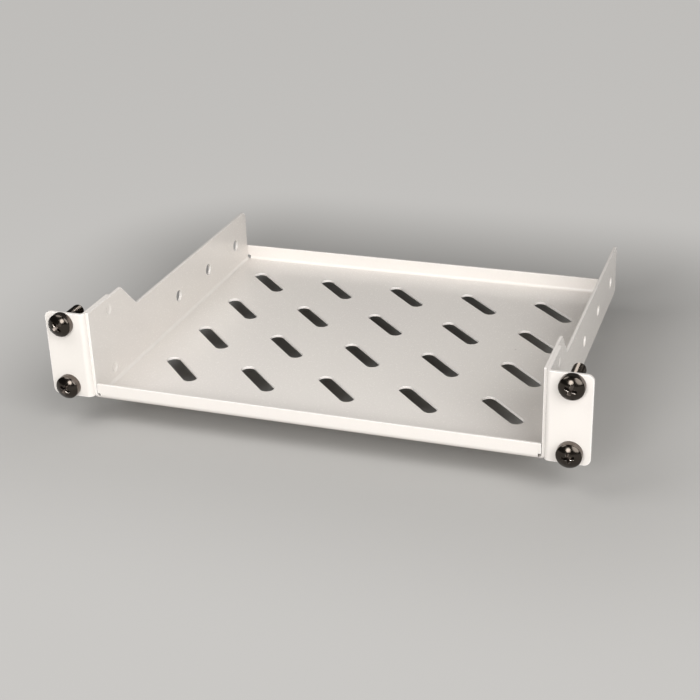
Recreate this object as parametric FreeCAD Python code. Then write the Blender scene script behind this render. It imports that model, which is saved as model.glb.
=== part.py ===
import FreeCAD, Part
import math
import os

from FreeCAD import Vector

# Folded tray, set a little below the middle of the ears
tray_width = 214.0
tray_depth = 185.0
tray_sheet = 1.2
tray_bend = 1.5
tray_sink = 0.9
front_lip_height = 8.0
rear_lip_height = 9.0
corner_gap = 0.3
notch_gap = 0.2
notch_rise = 0.5

# Side walls: high front, 45 degree step, low rear
wall_height = 44.0
wall_low_height = 30.0
wall_front_length = 32.5
wall_peak_radius = 1.0
wall_rear_radius = 4.0
wall_hole_diameter = 6.0
wall_hole_height = 15.0
wall_hole_setback = 18.0
wall_hole_pitch = 37.5
wall_hole_count = 3

# Ventilation slots in the floor, in a grid set a little behind its middle
slot_length = 30.0
slot_width = 7.0
slot_slant = -45.0
slot_columns = 5
slot_rows = 4
slot_column_pitch = 40.0
slot_row_pitch = 38.0
slot_grid_shift = 2.5

# Ear brackets, one unit high: on this tray the ears span 254 mm, as in any ten inch rack
ear_reach = 20.0
ear_height = 42.2
ear_sheet = 1.5
ear_bend = 1.0
ear_corner = 3.0
flange_depth = 26.0
flange_corner = 2.5

# Spot welds between walls and flanges
weld_diameter = 5.0
weld_root_diameter = 3.0
weld_depth = 0.3
weld_inset = 6.0
weld_margin = 6.1

# Rack screws: on these ears they stand 236.525 mm and 31.75 mm apart, in slots that leave side play
screw_inset = 8.7375
screw_margin = 5.225
screw_diameter = 6.0
screw_slot_gap = 1.0
screw_slot_play = 3.0
screw_neck_cut = 0.65
screw_length = 16.0
screw_tip = 0.6
head_diameter = 11.2
head_height = 5.4
head_side_height = 3.2
recess_span = 6.6
recess_root_span = 2.4
recess_width = 1.3
recess_depth = 2.6
recess_turn = 27.0

# Places that follow from the sizes
tray_half = tray_width / 2
tray_outer_bend = tray_sheet + tray_bend
tray_bottom = -wall_height / 2 - tray_sink
tray_front = ear_bend
tray_rear = tray_front + tray_depth
floor_half = tray_half - tray_outer_bend
rear_bend = tray_rear - tray_outer_bend
wall_rear = tray_rear - tray_sheet - corner_gap
wall_step = wall_height - wall_low_height
ear_half = tray_half + ear_reach
ear_outer_bend = ear_sheet + ear_bend
screw_half_span = ear_half - screw_inset
screw_half_rise = ear_height / 2 - screw_margin
ear_slot_width = screw_diameter + screw_slot_gap
ear_slot_length = ear_slot_width + screw_slot_play
weld_setback = flange_depth - weld_inset
weld_half_rise = ear_height / 2 - weld_margin


def plan(a, b):
    return Vector(a, b, 0)


def front_view(a, b):
    return Vector(a, 0, b)


def side_view(a, b):
    return Vector(0, a, b)


def outline(corners, place):
    # Flat face from corner points (a, b, radius), with an arc at each rounded corner
    points = [place(a, b) for a, b, radius in corners]
    runs = []
    for i, (a, b, radius) in enumerate(corners):
        here = points[i]
        back = (points[i - 1] - here).normalize()
        ahead = (points[(i + 1) % len(points)] - here).normalize()
        half_angle = back.getAngle(ahead) / 2
        reach = radius / math.tan(half_angle)
        start = here + back * reach
        end = here + ahead * reach
        inward = (back + ahead).normalize()
        middle = here + inward * (radius / math.sin(half_angle) - radius)
        runs.append((start, middle, end, radius))
    edges = []
    for i, (start, middle, end, radius) in enumerate(runs):
        if radius > 0:
            edges.append(Part.Arc(start, middle, end).toShape())
        following = runs[(i + 1) % len(runs)][0]
        if end.distanceToPoint(following) > 1e-6:
            edges.append(Part.LineSegment(end, following).toShape())
    return Part.Face(Part.Wire(edges))


def obround(length, width, place):
    radius = width / 2
    tip = length / 2
    corners = [(-tip, -radius, radius), (tip, -radius, radius), (tip, radius, radius), (-tip, radius, radius)]
    return outline(corners, place)


def spread(face, direction, low, high):
    # Solid from a face, from low to high along a direction
    solid = face.extrude(direction * (high - low))
    solid.translate(direction * low)
    return solid


along_x = Vector(1, 0, 0)
along_y = Vector(0, 1, 0)
along_z = Vector(0, 0, 1)


def mirrored(shape):
    return shape.mirror(Vector(0, 0, 0), along_x)


# Tray: floor and both side walls as one channel
def channel():
    top = tray_bottom + wall_height
    inner = tray_half - tray_sheet
    floor_top = tray_bottom + tray_sheet
    section = [
        (-tray_half, top, 0),
        (-tray_half, tray_bottom, tray_outer_bend),
        (tray_half, tray_bottom, tray_outer_bend),
        (tray_half, top, 0),
        (inner, top, 0),
        (inner, floor_top, tray_bend),
        (-inner, floor_top, tray_bend),
        (-inner, top, 0),
    ]
    peak = tray_front + wall_front_length
    low = tray_bottom + wall_low_height
    side = [
        (tray_front, tray_bottom, tray_outer_bend),
        (tray_front, top, 0),
        (peak, top, wall_peak_radius),
        (peak + wall_step, low, 0),
        (wall_rear, low, wall_rear_radius),
        (wall_rear, tray_bottom, wall_rear - rear_bend),
    ]
    folded = spread(outline(section, front_view), along_y, tray_front, wall_rear)
    trimmed = spread(outline(side, side_view), along_x, -tray_half, tray_half)
    bend_strip = Part.makeBox(2 * floor_half, tray_outer_bend, tray_sheet)
    front_strip = bend_strip.translated(Vector(-floor_half, tray_front, tray_bottom))
    rear_strip = bend_strip.translated(Vector(-floor_half, rear_bend, tray_bottom))
    return folded.common(trimmed).cut([front_strip, rear_strip])


# A lip folded up from the floor at y, open towards +Y or -Y, with its lower corners notched clear of the wall bends
def lip(y, facing, height, half_length):
    top = tray_bottom + height
    floor_top = tray_bottom + tray_sheet
    inner = y + facing * tray_sheet
    floor_end = y + facing * tray_outer_bend
    section = [
        (floor_end, tray_bottom, 0),
        (y, tray_bottom, tray_outer_bend),
        (y, top, 0),
        (inner, top, 0),
        (inner, floor_top, tray_bend),
        (floor_end, floor_top, 0),
    ]
    foot = floor_half - notch_gap
    notch = tray_bottom + tray_outer_bend + notch_rise
    front = [
        (-half_length, top, 0),
        (-half_length, notch, 0),
        (-foot, notch, notch_rise),
        (-foot, tray_bottom, 0),
        (foot, tray_bottom, 0),
        (foot, notch, notch_rise),
        (half_length, notch, 0),
        (half_length, top, 0),
    ]
    folded = spread(outline(section, side_view), along_x, -half_length, half_length)
    trimmed = spread(outline(front, front_view), along_y, min(y, floor_end), max(y, floor_end))
    return folded.common(trimmed)


def floor_slots():
    one = spread(obround(slot_length, slot_width, plan), along_z, tray_bottom, tray_bottom + tray_sheet)
    one.rotate(Vector(0, 0, 0), along_z, slot_slant)
    middle = (tray_front + tray_rear) / 2 + slot_grid_shift
    slots = []
    for column in range(slot_columns):
        for row in range(slot_rows):
            x = (column - (slot_columns - 1) / 2) * slot_column_pitch
            y = middle + (row - (slot_rows - 1) / 2) * slot_row_pitch
            slots.append(one.translated(Vector(x, y, 0)))
    return Part.makeCompound(slots)


def wall_holes():
    holes = []
    for i in range(wall_hole_count):
        y = tray_rear - wall_hole_setback - i * wall_hole_pitch
        start = Vector(-tray_half, y, tray_bottom + wall_hole_height)
        holes.append(Part.makeCylinder(wall_hole_diameter / 2, tray_width, start, along_x))
    return Part.makeCompound(holes)


# Shallow dished marks of the spot welds, pressed into a face at x against the way it faces
def weld_dents(x, facing):
    mouth = weld_diameter / 2
    root = weld_root_diameter / 2
    dents = []
    for z in (-weld_half_rise, weld_half_rise):
        centre = Vector(x, weld_setback, z)
        dents.append(Part.makeCone(mouth, root, weld_depth, centre, along_x * -facing))
    return Part.makeCompound(dents)


def tray():
    front_lip = lip(tray_front, 1, front_lip_height, tray_half - tray_sheet - corner_gap)
    rear_lip = lip(tray_rear, -1, rear_lip_height, tray_half)
    folded = channel().fuse([front_lip, rear_lip]).removeSplitter()
    pierced = folded.cut([floor_slots(), wall_holes()])
    inner = tray_half - tray_sheet
    return pierced.cut([weld_dents(inner, -1), weld_dents(-inner, 1)])


# Ear bracket on the right: flange along the wall, bent outwards into the ear
def right_bracket():
    flange_outer = tray_half + ear_sheet
    section = [
        (tray_half, flange_depth, 0),
        (tray_half, -ear_sheet, ear_outer_bend),
        (ear_half, -ear_sheet, 0),
        (ear_half, 0, 0),
        (flange_outer, 0, ear_bend),
        (flange_outer, flange_depth, 0),
    ]
    low = -ear_height / 2
    high = ear_height / 2
    front = [
        (tray_half, low, 0),
        (ear_half, low, ear_corner),
        (ear_half, high, ear_corner),
        (tray_half, high, 0),
    ]
    side = [
        (-ear_sheet, low, 0),
        (flange_depth, low, flange_corner),
        (flange_depth, high, flange_corner),
        (-ear_sheet, high, 0),
    ]
    bent = spread(outline(section, plan), along_z, low, high)
    bent = bent.common(spread(outline(front, front_view), along_y, -ear_sheet, flange_depth))
    bent = bent.common(spread(outline(side, side_view), along_x, tray_half, ear_half))
    slot = spread(obround(ear_slot_length, ear_slot_width, front_view), along_y, -ear_sheet, 0)
    slots = [slot.translated(Vector(screw_half_span, 0, z)) for z in (-screw_half_rise, screw_half_rise)]
    return bent.cut(slots).cut(weld_dents(flange_outer, 1))


# Rack screw along +Y, domed, with the underside of its head at y = 0 and a neck as long as the ear is thick
def screw():
    shank = screw_diameter / 2
    neck = shank - screw_neck_cut / 2
    head = head_diameter / 2
    crown = head_height - head_side_height
    dome_radius = (head * head + crown * crown) / (2 * crown)
    half_way = math.asin(head / dome_radius) / 2
    apex = plan(0, -head_height)
    middle = plan(dome_radius * math.sin(half_way), dome_radius * (1 - math.cos(half_way)) - head_height)
    rim = plan(head, -head_side_height)
    below = [
        rim,
        plan(head, 0),
        plan(neck, 0),
        plan(neck, ear_sheet),
        plan(shank, ear_sheet),
        plan(shank, screw_length - screw_tip),
        plan(shank - screw_tip, screw_length),
        plan(0, screw_length),
        apex,
    ]
    dome = Part.Arc(apex, middle, rim).toShape()
    profile = Part.Face(Part.Wire([dome] + Part.makePolygon(below).Edges))
    body = profile.revolve(Vector(0, 0, 0), along_y, 360)
    root = -head_height + recess_depth
    wing_side = [
        (-recess_span / 2, -head_height, 0),
        (recess_span / 2, -head_height, 0),
        (recess_root_span / 2, root, 0),
        (-recess_root_span / 2, root, 0),
    ]
    wing = spread(outline(wing_side, plan), along_z, -recess_width / 2, recess_width / 2)
    crossing = wing.copy()
    crossing.rotate(Vector(0, 0, 0), along_y, 90)
    return body.cut([wing, crossing])


def rack_screws():
    seated = []
    one = screw()
    for x in (-screw_half_span, screw_half_span):
        for z in (-screw_half_rise, screw_half_rise):
            turned = one.copy()
            turned.rotate(Vector(0, 0, 0), along_y, recess_turn * (len(seated) + 1))
            seated.append(turned.translated(Vector(x, -ear_sheet, z)))
    return Part.makeCompound(seated)


def main():
    os.makedirs("parts", exist_ok=True)
    bracket = right_bracket()
    nodes = {
        "tray": tray(),
        "left_ear_bracket": mirrored(bracket),
        "right_ear_bracket": bracket,
        "rack_screws": rack_screws(),
    }
    for name, shape in nodes.items():
        shape.exportStep(f"parts/{name}.step")
        print(name, len(shape.Solids), shape.isValid(), round(shape.Volume, 1), shape.BoundBox)


main()
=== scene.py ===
import math

import bpy
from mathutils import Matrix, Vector


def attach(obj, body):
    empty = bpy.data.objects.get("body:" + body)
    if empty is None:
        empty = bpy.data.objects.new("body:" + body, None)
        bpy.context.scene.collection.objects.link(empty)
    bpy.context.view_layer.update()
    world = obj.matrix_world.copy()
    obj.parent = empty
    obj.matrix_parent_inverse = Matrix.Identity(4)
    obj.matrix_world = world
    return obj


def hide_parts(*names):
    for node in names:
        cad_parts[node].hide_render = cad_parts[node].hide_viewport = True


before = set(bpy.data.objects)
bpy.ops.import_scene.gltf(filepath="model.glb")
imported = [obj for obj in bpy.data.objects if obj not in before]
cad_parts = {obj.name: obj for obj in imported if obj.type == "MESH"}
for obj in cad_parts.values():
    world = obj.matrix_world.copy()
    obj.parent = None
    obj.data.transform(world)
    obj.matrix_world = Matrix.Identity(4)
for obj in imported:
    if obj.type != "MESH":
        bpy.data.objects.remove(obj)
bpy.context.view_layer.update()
mm = 0.001
print("frame loaded:", ", ".join(sorted(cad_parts)))


def linear(hexColour):
    # sRGB hex to the linear colour that the shader sockets take
    parts = [int(hexColour[i:i + 2], 16) / 255 for i in (1, 3, 5)]
    return [p / 12.92 if p <= 0.04045 else ((p + 0.055) / 1.055) ** 2.4 for p in parts] + [1.0]


def addNode(tree, kind, settings=None, links=None):
    # a node with its options, socket values and incoming links
    node = tree.nodes.new(kind)
    for key, value in (settings or {}).items():
        if isinstance(key, str) and hasattr(node, key):
            setattr(node, key, value)
        else:
            node.inputs[key].default_value = value
    for key, source in (links or {}).items():
        tree.links.new(source, node.inputs[key])
    return node


def newMaterial(name):
    material = bpy.data.materials.new(name)
    material.use_nodes = True
    material.node_tree.nodes.clear()
    return material, material.node_tree


def perFeature(sizeMm):
    # noise scale that gives features of this size
    return 1 / (sizeMm * mm)


coat = {
    "tones": ("#e1dcd5", "#dcd6d1"),
    "driftMm": 70.0,               # slow change of tone over the sheet
    "peelMm": 1.5,                 # orange peel
    "peelHeightMm": 0.02,
    "peelStrength": 0.5,
    "grainMm": 0.5,                # fine change of gloss
    "roughness": (0.20, 0.30),
    "ior": 1.5,
    "bevelSamples": 4,
    "edgeMm": 0.3,                 # rounding by the melted film on every edge
    "highlightReachMm": 0.6,                # how far from a cut edge the painted highlight reaches
    "highlightAlike": (0.998, 0.95),   # rounded against flat normal: the painted highlight begins, is full
    "highlightLevel": (0.7, 0.3),      # the painted highlight shows on upright faces: share of Z in the normal
    # whiter tone of the upright cut edges: a painted highlight
    "edgeHighlightTone": "#fbf9f6",
    "speckMm": (71.4, 103.4, -21.7),
    "speckWidthMm": 1.3,
    "speckTone": "#a59d97",
    "speckShare": 0.7,
}


def powderCoat():
    # Satin polyester powder coat, sprayed on folded steel sheet and baked: an even warm light grey,
    # softly glossy, with a faint orange peel, edges that the melted powder has rounded, upright cut
    # edges painted whiter as a painted highlight, and one grain baked into the floor
    material, tree = newMaterial("satin_powder_coat_light_grey")
    place = addNode(tree, "ShaderNodeTexCoord").outputs["Object"]
    drift = addNode(tree, "ShaderNodeTexNoise",
                    {"Scale": perFeature(coat["driftMm"]), "Detail": 2.0}, {"Vector": place})
    tone = addNode(tree, "ShaderNodeValToRGB", None, {"Fac": drift.outputs["Fac"]})
    for stop, colour in zip(tone.color_ramp.elements, coat["tones"]):
        stop.color = linear(colour)

    # painted highlight: whiter near an edge and on an upright face
    rounded = addNode(tree, "ShaderNodeBevel",
                      {"samples": coat["bevelSamples"], "Radius": coat["highlightReachMm"] * mm})
    flat = addNode(tree, "ShaderNodeNewGeometry").outputs["True Normal"]
    alike = addNode(tree, "ShaderNodeVectorMath", {"operation": "DOT_PRODUCT"},
                    {0: rounded.outputs["Normal"], 1: flat})
    nearEdge = addNode(tree, "ShaderNodeMapRange",
                       {"From Min": coat["highlightAlike"][0], "From Max": coat["highlightAlike"][1]},
                       {"Value": alike.outputs["Value"]})
    parts = addNode(tree, "ShaderNodeSeparateXYZ", None, {"Vector": flat})
    level = addNode(tree, "ShaderNodeMath", {"operation": "ABSOLUTE"}, {0: parts.outputs["Z"]})
    upright = addNode(tree, "ShaderNodeMapRange",
                      {"From Min": coat["highlightLevel"][0], "From Max": coat["highlightLevel"][1]},
                      {"Value": level.outputs["Value"]})
    highlightShare = addNode(tree, "ShaderNodeMath", {"operation": "MULTIPLY"},
                    {0: nearEdge.outputs["Result"], 1: upright.outputs["Result"]})
    # a colour Mix has its two colours in sockets 6 and 7 and gives them out at 2
    withHighlight = addNode(tree, "ShaderNodeMix", {"data_type": "RGBA", 7: linear(coat["edgeHighlightTone"])},
                      {0: highlightShare.outputs["Value"], 6: tone.outputs["Color"]})

    off = addNode(tree, "ShaderNodeVectorMath",
                  {"operation": "DISTANCE", 1: [v * mm for v in coat["speckMm"]]}, {0: place})
    speck = addNode(tree, "ShaderNodeMapRange",
                    {"From Min": coat["speckWidthMm"] / 2 * mm, "From Max": 0.0,
                     "To Max": coat["speckShare"]},
                    {"Value": off.outputs["Value"]})
    colour = addNode(tree, "ShaderNodeMix", {"data_type": "RGBA", 7: linear(coat["speckTone"])},
                     {0: speck.outputs["Result"], 6: withHighlight.outputs[2]})

    peel = addNode(tree, "ShaderNodeTexNoise",
                   {"Scale": perFeature(coat["peelMm"]), "Detail": 1.0}, {"Vector": place})
    grain = addNode(tree, "ShaderNodeTexNoise",
                    {"Scale": perFeature(coat["grainMm"]), "Detail": 0.0}, {"Vector": place})
    gloss = addNode(tree, "ShaderNodeMapRange",
                    {"To Min": coat["roughness"][0], "To Max": coat["roughness"][1]},
                    {"Value": grain.outputs["Fac"]})
    edge = addNode(tree, "ShaderNodeBevel",
                   {"samples": coat["bevelSamples"], "Radius": coat["edgeMm"] * mm})
    bump = addNode(tree, "ShaderNodeBump",
                   {"Strength": coat["peelStrength"], "Distance": coat["peelHeightMm"] * mm},
                   {"Height": peel.outputs["Fac"], "Normal": edge.outputs["Normal"]})
    shader = addNode(tree, "ShaderNodeBsdfPrincipled", {"IOR": coat["ior"]},
                     {"Base Color": colour.outputs[2], "Roughness": gloss.outputs["Result"],
                      "Normal": bump.outputs["Normal"]})
    addNode(tree, "ShaderNodeOutputMaterial", None, {"Surface": shader.outputs["BSDF"]})
    return material


blackSteel = {
    "tones": ("#3a342f", "#4a433c"),
    "roughness": (0.13, 0.21),
    # lighter tones for the turned side and the recess: a painted reflection
    "sideReflectionTones": ("#5d554f", "#776d66"),
    "sideRoughness": (0.26, 0.36),
    "blotchMm": 2.5,
    "lacquer": {"Coat Weight": 0.3, "Coat Roughness": 0.1},
}


def blackPlating(name, tones, roughness):
    # Steel screw, turned and rolled, then plated black: near black, slightly brown and glossy, so it
    # shows small hard highlights of the lamps. On the turned side and in the recess the plating is
    # painted lighter and greyer, a painted reflection of the pale surroundings, and it is less glossy
    material, tree = newMaterial(name)
    place = addNode(tree, "ShaderNodeTexCoord").outputs["Object"]
    blotch = addNode(tree, "ShaderNodeTexNoise",
                     {"Scale": perFeature(blackSteel["blotchMm"]), "Detail": 3.0}, {"Vector": place})
    tone = addNode(tree, "ShaderNodeValToRGB", None, {"Fac": blotch.outputs["Fac"]})
    for stop, colour in zip(tone.color_ramp.elements, tones):
        stop.color = linear(colour)
    gloss = addNode(tree, "ShaderNodeMapRange", {"To Min": roughness[0], "To Max": roughness[1]},
                    {"Value": blotch.outputs["Fac"]})
    shader = addNode(tree, "ShaderNodeBsdfPrincipled", {"Metallic": 1.0, **blackSteel["lacquer"]},
                     {"Base Color": tone.outputs["Color"], "Roughness": gloss.outputs["Result"]})
    addNode(tree, "ShaderNodeOutputMaterial", None, {"Surface": shader.outputs["BSDF"]})
    return material


rubbedSteel = {
    "tones": ("#4a433d", "#d2c8be"),
    "bareFrom": (0.4, 0.65),       # noise levels at which bare steel begins and is full
    "scratchMm": 0.6,
    "roughness": 0.24,
}


def rubbedRim():
    # The driver has rubbed the plating on the rim of the recess: patches of bare steel that glint
    material, tree = newMaterial("black_plated_steel_rubbed")
    place = addNode(tree, "ShaderNodeTexCoord").outputs["Object"]
    rub = addNode(tree, "ShaderNodeTexNoise",
                  {"Scale": perFeature(rubbedSteel["scratchMm"]), "Detail": 2.0}, {"Vector": place})
    tone = addNode(tree, "ShaderNodeValToRGB", None, {"Fac": rub.outputs["Fac"]})
    for stop, colour, position in zip(tone.color_ramp.elements, rubbedSteel["tones"],
                                      rubbedSteel["bareFrom"]):
        stop.color = linear(colour)
        stop.position = position
    shader = addNode(tree, "ShaderNodeBsdfPrincipled",
                     {"Metallic": 1.0, "Roughness": rubbedSteel["roughness"]},
                     {"Base Color": tone.outputs["Color"]})
    addNode(tree, "ShaderNodeOutputMaterial", None, {"Surface": shader.outputs["BSDF"]})
    return material


coatMaterial = powderCoat()
platingMaterial = blackPlating("black_plated_steel_glossy", blackSteel["tones"],
                               blackSteel["roughness"])
# a lighter copy of the plating for the side and the recess: a painted reflection
sideReflectionMaterial = blackPlating("black_plated_steel_side_painted_reflection", blackSteel["sideReflectionTones"],
                            blackSteel["sideRoughness"])
rimMaterial = rubbedRim()
for sheetPart in ("tray", "left_ear_bracket", "right_ear_bracket"):
    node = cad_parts[sheetPart]
    node.material_slots[0].material = coatMaterial
print("powder coat on tray and ear brackets")


# rack screws: M6 pan heads with a cross recess and a rolled thread
screw = {
    "spanMm": 236.525,
    "riseMm": 31.75,
    "seatMm": -1.5,                # underside of the heads, the ears' front face
    "turnDeg": 27.0,               # each head stopped at another angle
    "sides": 64,
    "headMm": 11.2,
    "headHeightMm": 5.4,
    "sideHeightMm": 3.2,
    "shoulderMm": 0.2,             # the side goes over into the dome within this
    "shoulderKneeMm": (0.06, 0.04),    # in and down from the corner
    "crownRings": 12,
    "neckMm": 5.35,
    "neckLengthMm": 1.5,
    "lengthMm": 16.0,
    "threadMm": 6.0,
    "pitchMm": 1.0,
    "threadDepthMm": 0.6,
    "threadShares": (0.25, 0.56, 0.69),    # along a pitch: root ends, crest begins, crest ends
    "threadSteps": 32,
    "threadWeldMm": 0.002,
    "spareTurns": 3,               # wound beyond each end and cut off again
    "cutEndsMm": (-0.9, 0.5),      # where the rod is cut first, from the neck's end and the tip
    "cutPlayMm": 0.0005,
    "leadInMm": ((-0.35, -0.6), (-0.12, 0.06)),    # out from the neck's side, along from its end
    "fullThreadMm": 0.5,           # from the neck's end
    "crestPlayMm": 0.02,
    "tipMm": 0.6,
    "recessSpanMm": 6.6,
    "recessRootMm": 2.4,
    "recessWidthMm": 1.4,
    "recessTaper": 0.7,            # width at the root
    "recessDepthMm": 2.6,
    "recessOverMm": 0.4,           # the cutter stands out of the head
    "rimMm": 0.16,                 # worn rim of the recess
    "rimDepthMm": 0.5,             # depth of the V that wears it
    "rimOverMm": 0.3,
    "rimReachDeg": 17.5,           # along the dome to each side
    "rimSteps": 14,
    "rimFacesMm": (0.01, 0.45),    # how deep under the dome a face counts as rim
    "rimLevel": 0.95,              # share of Z in the normal, less on the rim
    "sideLevel": 0.5,              # and less on the side
    "weldMm": 0.01,
    "smoothDeg": 28.0,
}


def selectOnly(piece):
    bpy.ops.object.select_all(action="DESELECT")
    piece.select_set(True)
    bpy.context.view_layer.objects.active = piece


def editAll(piece):
    selectOnly(piece)
    bpy.ops.object.mode_set(mode="EDIT")
    bpy.ops.mesh.select_all(action="SELECT")


def closeEdit():
    # normals outwards, and back to object mode
    bpy.ops.mesh.select_all(action="SELECT")
    bpy.ops.mesh.normals_make_consistent(inside=False)
    bpy.ops.object.mode_set(mode="OBJECT")


def applyModifier(piece, kind, settings):
    selectOnly(piece)
    modifier = piece.modifiers.new(kind.lower(), kind)
    for key, value in settings.items():
        setattr(modifier, key, value)
    bpy.ops.object.modifier_apply(modifier=modifier.name)


def combine(piece, operation, other):
    applyModifier(piece, "BOOLEAN", {"operation": operation, "solver": "MANIFOLD", "object": other})
    bpy.data.objects.remove(other)


def weldSmall(piece):
    # cutting leaves points that almost coincide, they are drawn together
    editAll(piece)
    bpy.ops.mesh.remove_doubles(threshold=screw["weldMm"] * mm)
    bpy.ops.mesh.dissolve_degenerate(threshold=screw["weldMm"] * mm)
    closeEdit()


def turnedPiece(name, rings):
    # closed turned shape: a disc extruded and scaled from ring to ring, (radius, height) in mm
    bpy.ops.object.select_all(action="DESELECT")
    bpy.ops.mesh.primitive_circle_add(vertices=screw["sides"], radius=rings[0][0] * mm,
                                      fill_type="NGON", location=(0, 0, rings[0][1] * mm))
    piece = bpy.context.object
    piece.name = name
    bpy.ops.object.transform_apply(location=True)
    editAll(piece)
    for (r0, z0), (r1, z1) in zip(rings, rings[1:]):
        bpy.ops.mesh.extrude_region_move(TRANSFORM_OT_translate={"value": (0, 0, (z1 - z0) * mm)})
        bpy.ops.transform.resize(value=(r1 / r0, r1 / r0, 1.0), center_override=(0, 0, z1 * mm))
    closeEdit()
    return piece


def drawnLine(name, start, moves):
    # a line drawn point by point in mm, left in edit mode
    bpy.ops.object.select_all(action="DESELECT")
    bpy.ops.mesh.primitive_plane_add(size=mm)
    piece = bpy.context.object
    piece.name = name
    editAll(piece)
    bpy.ops.mesh.merge(type="CENTER")
    bpy.ops.transform.translate(value=[part * mm for part in start])
    for move in moves:
        bpy.ops.mesh.extrude_region_move(
            TRANSFORM_OT_translate={"value": [part * mm for part in move]})
    bpy.ops.mesh.select_all(action="SELECT")
    return piece


def domeBall():
    # radius and height of the centre of the ball that the crown is cut from, in mm
    radius = screw["headMm"] / 2
    crown = screw["headHeightMm"] - screw["sideHeightMm"]
    ball = (radius ** 2 + crown ** 2) / (2 * crown)
    return ball, screw["headHeightMm"] - ball


def screwHead():
    # neck, flat underside, straight side and a domed top, along +Z with the underside at 0
    neck = screw["neckMm"] / 2
    radius = screw["headMm"] / 2
    side = screw["sideHeightMm"]
    shoulder = screw["shoulderMm"]
    kneeIn, kneeDown = screw["shoulderKneeMm"]
    ball = domeBall()[0]
    rings = [(neck, -screw["neckLengthMm"]), (neck, 0.0), (radius, 0.0), (radius, side - shoulder),
             (radius - kneeIn, side - kneeDown)]
    steepest = math.asin((radius - shoulder) / ball)
    for i in range(screw["crownRings"]):
        angle = steepest * (1 - i / screw["crownRings"])
        rings.append((ball * math.sin(angle), screw["headHeightMm"] - ball * (1 - math.cos(angle))))
    return turnedPiece("screw_head", rings)


def crossCutter(turn):
    # one wing of the cross recess, narrower at its root
    top = screw["headHeightMm"] + screw["recessOverMm"]
    root = screw["headHeightMm"] - screw["recessDepthMm"]
    bpy.ops.object.select_all(action="DESELECT")
    bpy.ops.mesh.primitive_cube_add(size=1.0, location=(0, 0, 0))
    piece = bpy.context.object
    editAll(piece)
    sides = (screw["recessSpanMm"], screw["recessWidthMm"], top - root)
    bpy.ops.transform.resize(value=[side * mm for side in sides], center_override=(0, 0, 0))
    bpy.ops.transform.translate(value=(0, 0, (top + root) / 2 * mm))
    bpy.ops.mesh.select_all(action="DESELECT")
    bpy.ops.object.mode_set(mode="OBJECT")
    for face in piece.data.polygons:
        face.select = face.normal.z < -screw["sideLevel"]    # the root, which looks down
    bpy.ops.object.mode_set(mode="EDIT")
    shorter = screw["recessRootMm"] / screw["recessSpanMm"]
    bpy.ops.transform.resize(value=(shorter, screw["recessTaper"], 1.0),
                             center_override=(0, 0, root * mm))
    bpy.ops.mesh.select_all(action="SELECT")
    bpy.ops.transform.rotate(value=math.radians(turn), orient_axis="Z", center_override=(0, 0, 0))
    bpy.ops.object.mode_set(mode="OBJECT")
    return piece


def rimCutter(turn):
    # wears one wing's rim: a V-shaped section spun about the ball's centre, so that it follows the dome
    ball, centre = domeBall()
    depth = screw["rimDepthMm"]
    top = depth + screw["rimOverMm"]
    wide = (screw["recessWidthMm"] / 2 + screw["rimMm"]) * top / depth
    reach = math.radians(screw["rimReachDeg"])
    piece = drawnLine("rim_cutter", (0, 0, ball - depth), ((0, wide, top), (0, -2 * wide, 0)))
    bpy.ops.mesh.edge_face_add()
    bpy.ops.mesh.spin(steps=screw["rimSteps"], angle=2 * reach, center=(0, 0, 0), axis=(0, 1, 0))
    closeEdit()
    # spun away to one side, so it is turned back by half to lie across the top
    piece.rotation_euler = (0, reach, math.radians(turn))
    piece.location = (0, 0, centre * mm)
    bpy.ops.object.transform_apply(location=True, rotation=True, scale=True)
    return piece


def threadRod():
    # one pitch of the thread's profile, wound up by a Screw modifier and cut to a turned shape
    crest = screw["threadMm"] / 2
    root = crest - screw["threadDepthMm"]
    pitch = screw["pitchMm"]
    spare = screw["spareTurns"]
    run = screw["lengthMm"] - screw["neckLengthMm"]
    rootEnd, crestStart, crestEnd = screw["threadShares"]
    profile = [(root, 0.0), (root, rootEnd), (crest, crestStart), (crest, crestEnd), (root, 1.0)]
    moves = [(r1 - r0, 0, (t1 - t0) * pitch) for (r0, t0), (r1, t1) in zip(profile, profile[1:])]
    rod = drawnLine("screw_thread", (root, 0, -spare * pitch), moves)
    bpy.ops.object.mode_set(mode="OBJECT")
    applyModifier(rod, "SCREW", {"axis": "Z", "angle": 2 * math.pi, "screw_offset": pitch * mm,
                                 "iterations": int(run / pitch) + 2 * spare,
                                 "steps": screw["threadSteps"], "render_steps": screw["threadSteps"]})
    editAll(rod)
    bpy.ops.mesh.remove_doubles(threshold=screw["threadWeldMm"] * mm)
    firstCut, lastCut = screw["cutEndsMm"]
    for height, outwards in ((firstCut, -1), (run + lastCut, 1)):
        bpy.ops.mesh.select_all(action="SELECT")
        bpy.ops.mesh.bisect(plane_co=(0, 0, height * mm), plane_no=(0, 0, outwards), use_fill=True,
                            clear_outer=True, threshold=screw["cutPlayMm"] * mm)
    closeEdit()
    # the shape that it is cut to: lead-in at the neck, full thread, chamfered tip
    neck = screw["neckMm"] / 2
    tip = screw["tipMm"]
    over = crest + screw["crestPlayMm"]
    rings = [(neck + out, along) for out, along in screw["leadInMm"]]
    rings += [(over, screw["fullThreadMm"]), (over, run - tip), (crest - tip, run)]
    combine(rod, "INTERSECT", turnedPiece("screw_limit", rings))
    weldSmall(rod)
    return rod


def oneScrew():
    head = screwHead()
    for turn in (0.0, 90.0):
        for cutter in (crossCutter(turn), rimCutter(turn)):
            combine(head, "DIFFERENCE", cutter)
    weldSmall(head)
    rod = threadRod()
    # the rod runs along +Z from the neck's end, so it is turned over to leave the head downwards
    editAll(rod)
    bpy.ops.transform.rotate(value=math.pi, orient_axis="X", center_override=(0, 0, 0))
    bpy.ops.transform.translate(value=(0, 0, -screw["neckLengthMm"] * mm))
    bpy.ops.object.mode_set(mode="OBJECT")
    combine(head, "UNION", rod)
    weldSmall(head)
    return head


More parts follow.
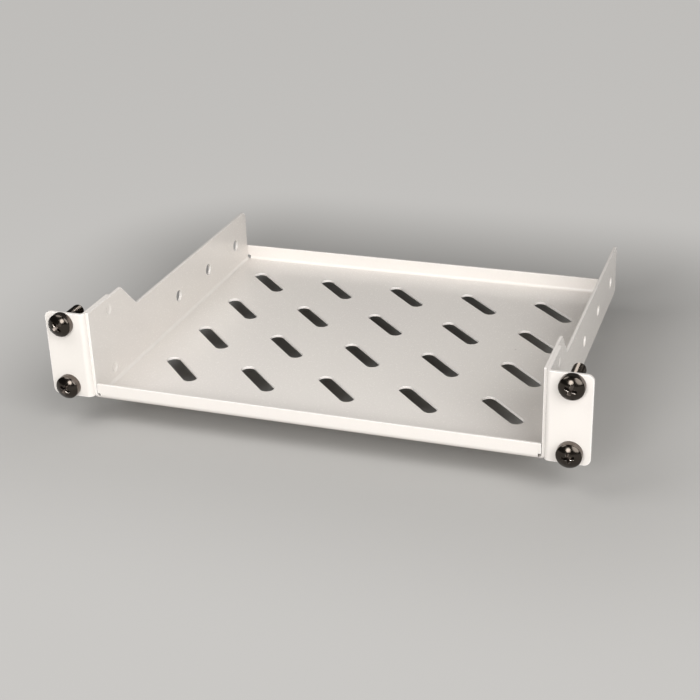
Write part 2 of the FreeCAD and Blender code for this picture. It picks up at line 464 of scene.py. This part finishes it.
def screwFinish(face):
    # 0 glossy plating, 1 the recess's rubbed rim, 2 duller plating painted lighter, a painted
    # reflection, on the side and down in the recess
    ball, centre = domeBall()
    middle = face.center / mm
    out = math.hypot(middle.x, middle.y)
    deep = ball - (middle - Vector((0, 0, centre))).length
    level = abs(face.normal.z)
    rimFrom, rimTo = screw["rimFacesMm"]
    inMouth = out < screw["recessSpanMm"] / 2
    atEdge = out > screw["headMm"] / 2 - screw["shoulderMm"]
    onSide = middle.z > 0 and atEdge and level < screw["sideLevel"]
    inRecess = middle.z > 0 and inMouth and deep >= rimTo
    onTop = middle.z > screw["sideHeightMm"]
    onRim = onTop and inMouth and rimFrom < deep < rimTo and level < screw["rimLevel"]
    return 2 if onSide or inRecess else 1 if onRim else 0


def rackScrews():
    first = oneScrew()
    first.data.materials.clear()
    for material in (platingMaterial, rimMaterial, sideReflectionMaterial):
        first.data.materials.append(material)
    for face in first.data.polygons:
        face.material_index = screwFinish(face)
    copies = []
    for side in (-1, 1):
        for level in (-1, 1):
            selectOnly(first)
            bpy.ops.object.duplicate(linked=False)
            copy = bpy.context.object
            # spun about its own axis first, then tipped so that the head looks forwards, to -Y
            copy.rotation_mode = "ZYX"
            spun = -screw["turnDeg"] * (len(copies) + 1)
            copy.rotation_euler = (math.radians(90), 0, math.radians(spun))
            copy.location = (side * screw["spanMm"] / 2 * mm, screw["seatMm"] * mm,
                             level * screw["riseMm"] / 2 * mm)
            bpy.ops.object.transform_apply(location=True, rotation=True, scale=True)
            copies.append(copy)
    bpy.data.objects.remove(first)
    selectOnly(copies[0])
    for copy in copies:
        copy.select_set(True)
    bpy.ops.object.join()
    joined = bpy.context.object
    joined.name = "pan_head_screws"
    bpy.ops.object.shade_smooth_by_angle(angle=math.radians(screw["smoothDeg"]))
    return joined


screws = rackScrews()
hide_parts("rack_screws")
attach(screws, "root")
print("rack screws:", len(screws.data.polygons), "faces")


studio = {
    "floorMm": -36.0,
    "floorSizeM": 20.0,
    # darker paper than the plain paper further out: a painted shade that deepens the shelf's shadow and
    # the slots
    "paintedShadeFloorTone": "#aaa8a5",
    "floorRoughness": 0.9,
    "paleTone": "#cbc9c6",
    "shadedM": (0.105, 0.100),     # half sides of the area under the shelf where the darker paper, a painted shade, shows with the real light and shadow
    "shadedMiddleM": (0.0, 0.105),
    "plainOverM": 0.15,            # beyond it, the floor goes over to plain paper within this distance
    "plainShare": 0.85,
    "worldTone": "#eceae6",
    "worldStrength": 0.11,
    "cameraLocation": (0.2042, -0.50993, 0.27465),
    "cameraTurnDeg": (64.7229, 1.7085, 18.9054),
    "lensMm": 71.634,
    "sensorMm": 36.0,
    "clipStartM": 0.01,
    "lamps": {
        # name: place, aim, size in metres, watts
        "front": ((-0.01, -0.73, 0.31), (0.0, 0.06, 0.0), 0.35, 3.95),
        "right": ((0.72, -0.49, 0.60), (0.0, 0.08, 0.0), 1.00, 11.7),
        "topLeft": ((-0.22, -0.12, 0.34), (-0.05, 0.09, -0.02), 0.30, 0.78),
    },
}


def paperFloor():
    # Matt paper sweep: near and under the shelf it is darker paper, a painted shade, which takes the
    # light and the shadow, and further out the eye and mirrored rays see it evenly pale, as a lit
    # backdrop is
    material, tree = newMaterial("matt_paper_sweep")
    place = addNode(tree, "ShaderNodeTexCoord").outputs["Object"]
    centred = addNode(tree, "ShaderNodeVectorMath",
                      {"operation": "SUBTRACT", 1: (*studio["shadedMiddleM"], 0)}, {0: place})
    folded = addNode(tree, "ShaderNodeVectorMath", {"operation": "ABSOLUTE"},
                     {0: centred.outputs["Vector"]})
    beyond = addNode(tree, "ShaderNodeVectorMath",
                     {"operation": "SUBTRACT", 1: (*studio["shadedM"], 0)},
                     {0: folded.outputs["Vector"]})
    outside = addNode(tree, "ShaderNodeVectorMath", {"operation": "MAXIMUM", 1: (0, 0, 0)},
                      {0: beyond.outputs["Vector"]})
    away = addNode(tree, "ShaderNodeVectorMath", {"operation": "LENGTH"},
                   {0: outside.outputs["Vector"]})
    plain = addNode(tree, "ShaderNodeMapRange",
                    {"interpolation_type": "SMOOTHSTEP", "From Max": studio["plainOverM"],
                     "To Max": studio["plainShare"]},
                    {"Value": away.outputs["Value"]})
    ray = addNode(tree, "ShaderNodeLightPath")
    seen = addNode(tree, "ShaderNodeMath", {"operation": "MAXIMUM"},
                   {0: ray.outputs["Is Camera Ray"], 1: ray.outputs["Is Glossy Ray"]})
    seenToo = addNode(tree, "ShaderNodeMath", {"operation": "MAXIMUM"},
                      {0: seen.outputs["Value"], 1: ray.outputs["Is Transmission Ray"]})
    share = addNode(tree, "ShaderNodeMath", {"operation": "MULTIPLY"},
                    {0: plain.outputs["Result"], 1: seenToo.outputs["Value"]})
    # the darker paper: a painted shade near and under the shelf
    lit = addNode(tree, "ShaderNodeBsdfPrincipled",
                  {"Base Color": linear(studio["paintedShadeFloorTone"]), "Roughness": studio["floorRoughness"]})
    pale = addNode(tree, "ShaderNodeEmission",
                   {"Color": linear(studio["paleTone"]), "Strength": 1.0})
    both = addNode(tree, "ShaderNodeMixShader", None,
                   {"Fac": share.outputs["Value"], 1: lit.outputs["BSDF"],
                    2: pale.outputs["Emission"]})
    addNode(tree, "ShaderNodeOutputMaterial", None, {"Surface": both.outputs["Shader"]})
    return material


def studioFloor():
    bpy.ops.object.select_all(action="DESELECT")
    bpy.ops.mesh.primitive_plane_add(size=studio["floorSizeM"],
                                     location=(0, 0, studio["floorMm"] * mm))
    floor = bpy.context.object
    floor.name = "studio_floor"
    floor.data.materials.append(paperFloor())


def studioLight():
    for name, (place, aim, size, watts) in studio["lamps"].items():
        lamp = bpy.data.lights.new(name, "AREA")
        lamp.shape = "DISK"
        lamp.size = size
        lamp.energy = watts
        holder = bpy.data.objects.new(name, lamp)
        holder.location = place
        aimed = Vector(aim) - Vector(place)
        holder.rotation_euler = aimed.to_track_quat("-Z", "Y").to_euler()
        bpy.context.scene.collection.objects.link(holder)
    world = bpy.data.worlds.new("soft_surround")
    world.use_nodes = True
    tree = world.node_tree
    tree.nodes.clear()
    sky = addNode(tree, "ShaderNodeBackground",
                  {"Color": linear(studio["worldTone"]), "Strength": studio["worldStrength"]})
    # past the floor's edge the eye meets the same pale tone, which gives no light
    backdrop = addNode(tree, "ShaderNodeBackground",
                       {"Color": linear(studio["paleTone"]), "Strength": studio["plainShare"]})
    ray = addNode(tree, "ShaderNodeLightPath")
    both = addNode(tree, "ShaderNodeMixShader", None,
                   {"Fac": ray.outputs["Is Camera Ray"], 1: sky.outputs["Background"],
                    2: backdrop.outputs["Background"]})
    addNode(tree, "ShaderNodeOutputWorld", None, {"Surface": both.outputs["Shader"]})
    bpy.context.scene.world = world


def studioCamera():
    lens = bpy.data.cameras.new("camera")
    lens.lens = studio["lensMm"]
    lens.sensor_width = studio["sensorMm"]
    lens.clip_start = studio["clipStartM"]
    camera = bpy.data.objects.new("camera", lens)
    camera.location = studio["cameraLocation"]
    camera.rotation_euler = [math.radians(angle) for angle in studio["cameraTurnDeg"]]
    bpy.context.scene.collection.objects.link(camera)
    bpy.context.scene.camera = camera


studioFloor()
studioLight()
studioCamera()
bpy.context.scene.view_settings.view_transform = "Standard"
print("studio floor, lamps and camera set")
